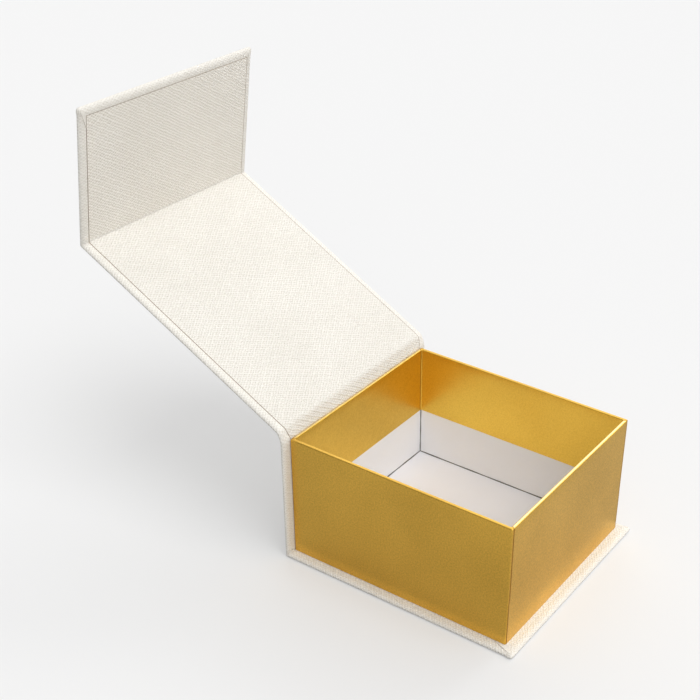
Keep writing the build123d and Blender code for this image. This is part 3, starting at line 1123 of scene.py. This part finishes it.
    def neck(self, line: np.ndarray) -> np.ndarray:
        """Half width of the liner near the lid fold, where it narrows to the spine's width.

        Args:
            line: Points of the liner's line, (rows, 2).

        Returns:
            Half width at each row.
        """
        lay = self.layout
        above = (line - lay.spine.at(lay.rim, lay.thickness)[0]) @ lay.lid.along
        share = np.clip((above + self.neck_lead) / self.neck_length, 0, 1)
        return lay.spine_liner_half + (lay.liner_half - lay.spine_liner_half) * share * (2 - share)

    def build(self) -> None:
        """Build and dress every piece of the case."""
        lay = self.layout
        self.build_boards()
        self.build_base_and_spine()
        self.build_lid_fold()
        self.build_lid_cover()
        self.build_flap_fold()
        self.build_flap_cover()
        self.build_tuck("base_front_tuck", lay.base, 0.0, -1.0, lay.turn_in, Body.BOX)
        self.build_tuck("flap_tip_tuck", lay.flap, lay.flap_length, 1.0, lay.turn_in, Body.FLAP)
        self.build_liners()


# ---------------------------------------------------------------------------
# Tray
# ---------------------------------------------------------------------------
@dataclass
class Tray:
    """Foil wrap of the tray and the painted shade along the joints of its boards."""

    finishes: Finishes
    foil: float = 0.12 * MM
    shoulder: float = 0.45 * MM
    inner_shoulder: float = 0.38 * MM
    wall: float = 1.66 * MM
    turn_in: float = 34.0 * MM
    hem: float = 12.0 * MM
    seam: float = 1.05 * MM
    low_seam: float = 0.55 * MM
    seam_step: float = 23.5 * MM
    inner_corner: float = 0.6 * MM
    inner_gap: float = 0.05 * MM
    margin: float = 0.45 * MM
    crest_lift: float = 0.03 * MM
    seam_fade: float = 0.12 * MM
    crest_depth: float = 0.2 * MM
    # Width of the painted shade strips along the cavity's joints.
    joint: float = 0.36 * MM
    joint_lap: float = 0.3 * MM
    joint_depth: float = 0.04 * MM
    foot: float = 0.35 * MM
    outer_corner: float = 0.5 * MM
    rim_start: float = 0.3 * MM
    rim_fade: float = 0.5 * MM
    tab_lap: float = 0.45 * MM
    swell_depth: float = 0.05 * MM
    nick_places: tuple[float, float] = (46.6 * MM, 29.3 * MM)
    nick_depths: tuple[float, float] = (0.10 * MM, -0.08 * MM)
    nick_half: float = 0.35 * MM
    nick_step: float = 0.28 * MM

    def __post_init__(self) -> None:
        """Read the tray's outer box."""
        low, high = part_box("tray_foil_wrap")
        self.low, self.high = np.array(low), np.array(high)
        self.half = (self.high[:2] - self.low[:2]) / 2
        self.centre = (self.high[:2] + self.low[:2]) / 2

    def wall_profile(self) -> tuple[np.ndarray, np.ndarray]:
        """Section of a wall's wrap, from the underside up, over the rim and down inside.

        Returns:
            Inset from the tray's outer face and height above the tray's underside.
        """
        tall = self.high[2] - self.low[2]
        foot, shoulder, inside = self.foot, self.shoulder, self.inner_shoulder
        turn = quarter(5)
        parts = [(np.array([self.hem]), np.array([0.0])),
                 (foot * (1 - np.sin(turn)), foot * (1 - np.cos(turn))),
                 (np.zeros(11), np.linspace(foot, tall - shoulder, 13)[1:-1]),
                 (shoulder * (1 - np.cos(turn)), tall - shoulder * (1 - np.sin(turn))),
                 (np.array([self.wall / 2]), np.array([tall + HAIR])),
                 (self.wall - inside * (1 - np.sin(turn)), tall - inside * (1 - np.cos(turn))),
                 (np.full(8, self.wall), tall - np.linspace(inside, self.turn_in, 9)[1:])]
        inset, height = (np.concatenate(column) for column in zip(*parts))
        return inset, height

    def over_rim(self, inset: np.ndarray) -> np.ndarray:
        """Share of the way over the rim at each row of the section, 0 on its first six rows.

        Args:
            inset: Inset of each row from the tray's outer face.

        Returns:
            Shares from 0 outside to 1 inside.
        """
        share = np.clip((inset - self.rim_start) / (self.wall - self.rim_start), 0, 1)
        share[:6] = 0.0
        return share

    def zones(self, inset: np.ndarray) -> tuple[np.ndarray, np.ndarray]:
        """Which spans of the wall's section lie inside, and which on the crest of the rim: the spans
        that get the foil's painted light and its painted highlight.

        Args:
            inset: Inset of each row from the tray's outer face.

        Returns:
            True for the spans inside, and for those on the crest.
        """
        near, far = np.minimum(inset[:-1], inset[1:]), np.maximum(inset[:-1], inset[1:])
        inner = near > 0.75 * self.wall
        crest = (near > 0.25 * self.wall) & (far < 0.8 * self.wall)
        return inner, crest

    def foils(self) -> list[bpy.types.Material]:
        """The foil's finishes: outside, cut edge, a brighter copy with painted light for the inside, and
        a painted highlight for the crest of the rim.
        """
        finishes = self.finishes
        return [finishes.foil, finishes.foil_edge, finishes.foil_inside, finishes.painted_rim_highlight]

    def swell(self, along: np.ndarray, height: np.ndarray) -> np.ndarray:
        """Slight unevenness of the foil: a slow wave over length and height, zero at the edges.

        Args:
            along: Place along the wall.
            height: Height above the tray's underside.

        Returns:
            Depth of the unevenness.
        """
        edge = np.sin(math.pi * np.clip(height / (self.high[2] - self.low[2]), 0, 1)) ** 2
        wave = np.sin(95 * along + 40 * height) * np.cos(150 * height - 60 * along)
        return self.swell_depth * edge * wave

    def build_sides(self) -> None:
        """Side panels with tabs round the corners: the wall's section carried round the tray.

        Each row is a rectangle with rounded corners: its half sizes are the tray's less the
        row's inset, and its corner radius goes from the outer to the inner one.
        """
        inset, height = self.wall_profile()
        over_rim = self.over_rim(inset)
        radius = self.outer_corner + (self.inner_corner - self.outer_corner) * over_rim
        half_x = self.half[0] - inset
        half_y = self.half[1] - inset - self.foil * (1 - over_rim) + self.inner_gap * over_rim
        nick = np.add.outer(self.nick_places, np.arange(-4, 5) * self.nick_step).ravel()
        nick -= self.centre[1]
        side = np.unique(np.concatenate([np.linspace(-1, 1, 33), nick / self.half[1]]))
        end = np.linspace(-1, 1, 21)
        bend = quarter(5)
        corner_x, corner_y = (half_x - radius)[:, None], (half_y - radius)[:, None]
        rad = radius[:, None]
        right = (corner_x + rad + 0 * side, corner_y * side)
        far = (corner_x * end[::-1], corner_y + rad + 0 * end)
        turn = (corner_x + rad * np.cos(bend[1:-1]), corner_y + rad * np.sin(bend[1:-1]))
        half_loop = (right, turn, far, (-turn[0][:, ::-1], turn[1][:, ::-1]))
        x, y = (np.hstack([part[k] for part in half_loop]) for k in (0, 1))
        x, y = np.hstack([x, -x]), np.hstack([y, -y])
        z = np.broadcast_to(height[:, None], x.shape).copy()
        on_left = x < -self.half[0] + 2 * self.wall
        on_rim = np.exp(-((height - height.max()) / self.rim_fade) ** 2)[:, None]
        for place, depth in zip(self.nick_places, self.nick_depths):
            dent = depth * np.exp(-((y + self.centre[1] - place) / self.nick_half) ** 2)
            z -= on_left * on_rim * dent
        points = np.stack([x + self.centre[0], y + self.centre[1], z + self.low[2]], axis=-1)
        side_wall = np.abs(np.abs(x) - self.half[0] + inset[:, None]) < HAIR
        points[..., 0] -= np.sign(x) * side_wall * np.abs(self.swell(y, z))
        run = lengths(np.stack([inset, height], axis=1))
        around = lengths(np.stack([x[8], y[8]], axis=1))
        sheet = on_sheet(around, run)
        quads = grid_quads(*x.shape, closed=True)[..., ::-1]
        # Spans inside wear the brighter copy of the foil: painted light.
        inner = self.zones(inset)[0]
        piece = make_piece("tray_side_foil", points, quads, sheet, self.foils(),
                           np.broadcast_to(inner[:, None] * 2, quads.shape[:2]))
        self.finish_foil(piece)

    def build_end(self, name: str, facing: float) -> None:
        """Front or back panel of foil, lying over the side panels' tabs.

        Args:
            name: Name of the piece.
            facing: -1 for the front panel and 1 for the back one.
        """
        inset, height = self.wall_profile()
        share = self.over_rim(inset)[1:]
        inset, height = inset[1:], height[1:]
        step = 1 / (1 + np.exp(-(height - self.seam_step) / self.seam_fade))
        outer_edge = self.half[0] - self.low_seam - (self.seam - self.low_seam) * step
        inner_edge = self.half[0] - self.wall - self.tab_lap
        edge = np.where(share > 0, outer_edge + (inner_edge - outer_edge) * share, outer_edge)
        margin = 1 - self.margin / self.half[0]
        across = np.concatenate([[-1.0], np.linspace(-margin, margin, 41), [1.0]])
        x = edge[:, None] * across
        y = facing * (self.half[1] - inset)[:, None] + 0 * x
        lift = self.crest_lift * (height > height.max() - self.crest_depth)
        z = (height + lift)[:, None] + 0 * x
        outside = (inset < HAIR)[:, None]
        y -= facing * outside * np.abs(self.swell(x, z))
        points = np.stack([x + self.centre[0], y + self.centre[1], z + self.low[2]], axis=-1)
        run = lengths(np.stack([inset, height], axis=1))
        sheet = on_sheet(x, run)
        quads = grid_quads(*x.shape)
        if facing < 0:
            quads = quads[..., ::-1]
        inner, crest = self.zones(inset)
        # Material of each span: painted light inside, a painted highlight on the crest, and the cut foil
        # edge at the seams.
        painted_light_and_seams = np.broadcast_to((inner * 2 + crest * 3)[:, None], quads.shape[:2]).copy()
        painted_light_and_seams[:, [0, -1]] = 1
        piece = make_piece(name, points, quads, sheet, self.foils(), painted_light_and_seams)
        self.finish_foil(piece)

    def build_joints(self) -> None:
        """Painted shade: thin dark strips along the cavity's joints, where the white boards meet.

        The floor's line is a loop of four slanting strips, and each corner has a slanting
        strip from the floor's line up to the foil.
        """
        deep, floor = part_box("tray_floor_board")[1].z, self.joint
        x_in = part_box("tray_right_board")[0].x - self.centre[0]
        y_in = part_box("tray_back_board")[0].y - self.centre[1]
        lift = HAIR
        side = np.linspace(-1, 1, 15)
        loop_x = np.concatenate([side, 1 + 0 * side[1:-1], side[::-1], -1 + 0 * side[1:-1]])
        loop_y = np.concatenate([-1 + 0 * side, side[1:-1], 1 + 0 * side, side[::-1][1:-1]])
        uneven = 1 + 0.25 * np.sin(np.arange(len(loop_x)) * 2.4)
        rows = []
        for inset, height in ((lift, floor * uneven), (floor * uneven, lift)):
            rows.append(np.stack([loop_x * (x_in - inset), loop_y * (y_in - inset),
                                  deep + height + 0 * loop_x], axis=-1))
        loop = np.stack(rows)
        up = np.linspace(deep + lift, self.high[2] - self.turn_in + self.joint_lap, 9)
        width = floor * (0.9 + 0.2 * np.sin(np.arange(9) * 1.9))
        quads, points = [grid_quads(2, len(loop_x), closed=True).reshape(-1, 4)], [loop.reshape(-1, 3)]
        for sx, sy in ((1, 1), (-1, 1), (-1, -1), (1, -1)):
            near = np.stack([sx * (x_in - lift + 0 * up), sy * (y_in - width), up], axis=-1)
            far = np.stack([sx * (x_in - width), sy * (y_in - lift + 0 * up), up], axis=-1)
            strip = np.stack([near, far] if sx * sy > 0 else [far, near])
            quads.append(grid_quads(2, 9).reshape(-1, 4) + sum(len(part) for part in points))
            points.append(strip.reshape(-1, 3))
        every = np.concatenate(points) + np.array([*self.centre, 0.0])
        # Painted shade strips, one piece for all the joints.
        piece = make_piece("tray_joint_cores", every, np.concatenate(quads), every[:, :2],
                           [self.finishes.joint])
        thicken(piece, self.joint_depth, 0)
        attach(piece, Body.BOX.value)
        LOG.info("tray_joint_cores rides on box")

    def finish_foil(self, piece: bpy.types.Object) -> None:
        """Give a foil piece its thickness and body, and hide the CAD node it stands for.

        Args:
            piece: The foil piece.
        """
        thicken(piece, self.foil * 0.9, 0)
        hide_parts("tray_foil_wrap")
        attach(piece, Body.BOX.value)
        LOG.info("%s stands for tray_foil_wrap", piece.name)

    def build(self) -> None:
        """Build the foil pieces."""
        self.build_sides()
        self.build_end("tray_front_foil", -1.0)
        self.build_end("tray_back_foil", 1.0)
        self.build_joints()


def dress_nodes(finishes: Finishes) -> None:
    """Give every carried-over node the finish of its slot.

    Args:
        finishes: The materials of the box.
    """
    by_slot = {Slot.COVER: finishes.cover, Slot.LINER: finishes.liner, Slot.FOIL: finishes.foil,
               Slot.GREY: finishes.grey, Slot.WHITE: finishes.white, Slot.STAY: finishes.stay,
               Slot.MAGNET: finishes.magnet}
    rules = (("tray_magnet", Slot.MAGNET), ("flap_magnet", Slot.MAGNET), ("corner_stay", Slot.STAY),
             ("tray_foil", Slot.FOIL), ("tray_", Slot.WHITE), ("cover_", Slot.COVER),
             ("liner_", Slot.LINER), ("", Slot.GREY))
    for name, node in frame["nodes"].items():
        slot = next(slot for start, slot in rules if name.startswith(start))
        # The tray's floor board wears the darker copy of the white board: painted shade.
        finish = finishes.shaded_tray_floor if name == "tray_floor_board" else by_slot[slot]
        node.data.materials.clear()
        node.data.materials.append(finish)
        LOG.info("%s wears %s", name, finish.name)


# ---------------------------------------------------------------------------
# Studio
# ---------------------------------------------------------------------------
@dataclass(frozen=True)
class Lamp:
    """Soft lamp far away: the angle it fills and the direction from the box towards it."""

    name: str
    strength: float
    spread: float
    source: tuple[float, float, float]

    def build(self) -> None:
        """Hang the lamp."""
        lamp = bpy.data.lights.new(self.name, "SUN")
        lamp.energy = self.strength
        lamp.angle = self.spread
        holder = bpy.data.objects.new(self.name, lamp)
        holder.rotation_euler = Vector(self.source).to_track_quat("Z", "Y").to_euler()
        bpy.context.scene.collection.objects.link(holder)


@dataclass
class Studio:
    """Pale floor, soft light and the camera."""

    backdrop: float = 0.913
    floor_tone: float = 0.55
    floor_glow: float = 0.295
    floor_size: float = 6.0
    lamps: tuple[Lamp, ...] = (
        Lamp("overhead light", 1.14, math.radians(40), (-0.04, -0.42, 1.0)),
        Lamp("side light", 0.4, math.radians(22), (0.78, -0.12, 0.52)),
        Lamp("fill light", 0.38, math.radians(60), (-0.55, -0.60, 0.60)),
    )
    sky: float = 0.36
    sky_front: float = 2.3
    sky_back: float = 0.42
    sky_left: float = 0.85
    sky_right: float = 1.2
    back_glow: float = 1.1
    back_from: tuple[float, float, float] = (0.70, 0.45, 0.55)
    camera_place: tuple[float, float, float] = (-0.4143, -0.2540, 0.3747)
    camera_aim: tuple[float, float, float] = (-0.0025, 0.0065, 0.0600)
    camera_roll: float = math.radians(1.8)
    lens: float = 67.9
    shift: tuple[float, float] = (-0.142, 0.118)

    def build_floor(self) -> None:
        """Floor under the box: a wide sheet with a faint cloud in its tone.

        Its glow is for the camera alone, so it lights nothing.
        """
        half = self.floor_size / 2
        corners = np.linspace(-half, half, 9)
        x, y = np.meshgrid(corners, corners)
        points = np.stack([x, y, np.zeros_like(x)], axis=-1)
        material, bench, shader = start_material("studio floor")
        place = bench.node("TexCoord").outputs["Object"]
        cloud = bench.noise(place, 3.0, 2.0)
        tone, dull = ((*[grey] * 3, 1) for grey in (self.floor_tone, 0.995 * self.floor_tone))
        bench.feed(shader, "Base_Color", bench.mix(cloud, tone, dull))
        shader.inputs["Roughness"].default_value = 0.9
        shader.inputs["Specular IOR Level"].default_value = 0.0
        shader.inputs["Emission Color"].default_value = (1, 1, 1, 1)
        seen = bench.node("LightPath").outputs["Is Camera Ray"]
        bench.feed(shader, "Emission_Strength", bench.maths("MULTIPLY", seen, self.floor_glow))
        floor = make_piece("studio_floor", points, grid_quads(9, 9)[..., ::-1], points[..., :2],
                           [material])

    def build_world(self) -> None:
        """Pale surroundings, brighter in front and to the right, dim behind and to the left."""
        world = bpy.data.worlds.new("studio")
        bpy.context.scene.world = world
        world.use_nodes = True
        bench = Bench(world.node_tree)
        ray = bench.node("LightPath").outputs["Is Camera Ray"]
        way = bench.node("TexCoord").outputs["Generated"]
        split = bench.node("SeparateXYZ", Vector=way).outputs
        high = bench.spread(split[2], 0.0, 0.9, 0.8 * self.sky, 1.2 * self.sky)
        side = bench.spread(split[0], -1.0, 1.0, self.sky_left, self.sky_right)
        front = bench.spread(split[1], -1.0, 1.0, self.sky_front, self.sky_back)
        sky = bench.maths("MULTIPLY", high, bench.maths("MULTIPLY", side, front))
        towards = bench.node("VectorMath", {"operation": "DOT_PRODUCT"}, in0=way,
                             in1=tuple(Vector(self.back_from).normalized())).outputs["Value"]
        glow = bench.spread(towards, 0.80, 0.98, 0.0, self.back_glow)
        glow.node.interpolation_type = "SMOOTHSTEP"
        light = bench.node("Background", Color=(1.0, 1.0, 1.0, 1),
                           Strength=bench.maths("ADD", sky, glow))
        plain = bench.node("Background", Color=(1, 1, 1, 1), Strength=self.backdrop)
        both = bench.node("MixShader", in0=ray, in1=light.outputs[0], in2=plain.outputs[0])
        bench.node("OutputWorld", Surface=both.outputs[0])

    def build_camera(self) -> None:
        """Camera at the front left, looking down at the open box."""
        lens = bpy.data.cameras.new("camera")
        lens.lens = self.lens
        lens.sensor_width = 36.0
        lens.shift_x, lens.shift_y = self.shift
        lens.dof.use_dof = False
        lens.clip_start, lens.clip_end = 0.01, 50.0
        camera = bpy.data.objects.new("camera", lens)
        place, aim = Vector(self.camera_place), Vector(self.camera_aim)
        camera.rotation_mode = "QUATERNION"
        level = (aim - place).to_track_quat("-Z", "Y")
        camera.rotation_quaternion = level @ Quaternion((0, 0, 1), self.camera_roll)
        camera.location = place
        bpy.context.scene.collection.objects.link(camera)
        bpy.context.scene.camera = camera

    def build(self) -> None:
        """Build the studio."""
        self.build_floor()
        self.build_world()
        for lamp in self.lamps:
            lamp.build()
        self.build_camera()
        bpy.context.scene.view_settings.view_transform = "Standard"


def main() -> None:
    """Build the box and its studio."""
    logging.basicConfig(level=logging.INFO, format="%(name)s: %(message)s")
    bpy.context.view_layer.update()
    finishes = Finishes()
    dress_nodes(finishes)
    Case(CaseLayout(), finishes).build()
    Tray(finishes).build()
    Studio().build()


if __name__ == "__main__":
    main()
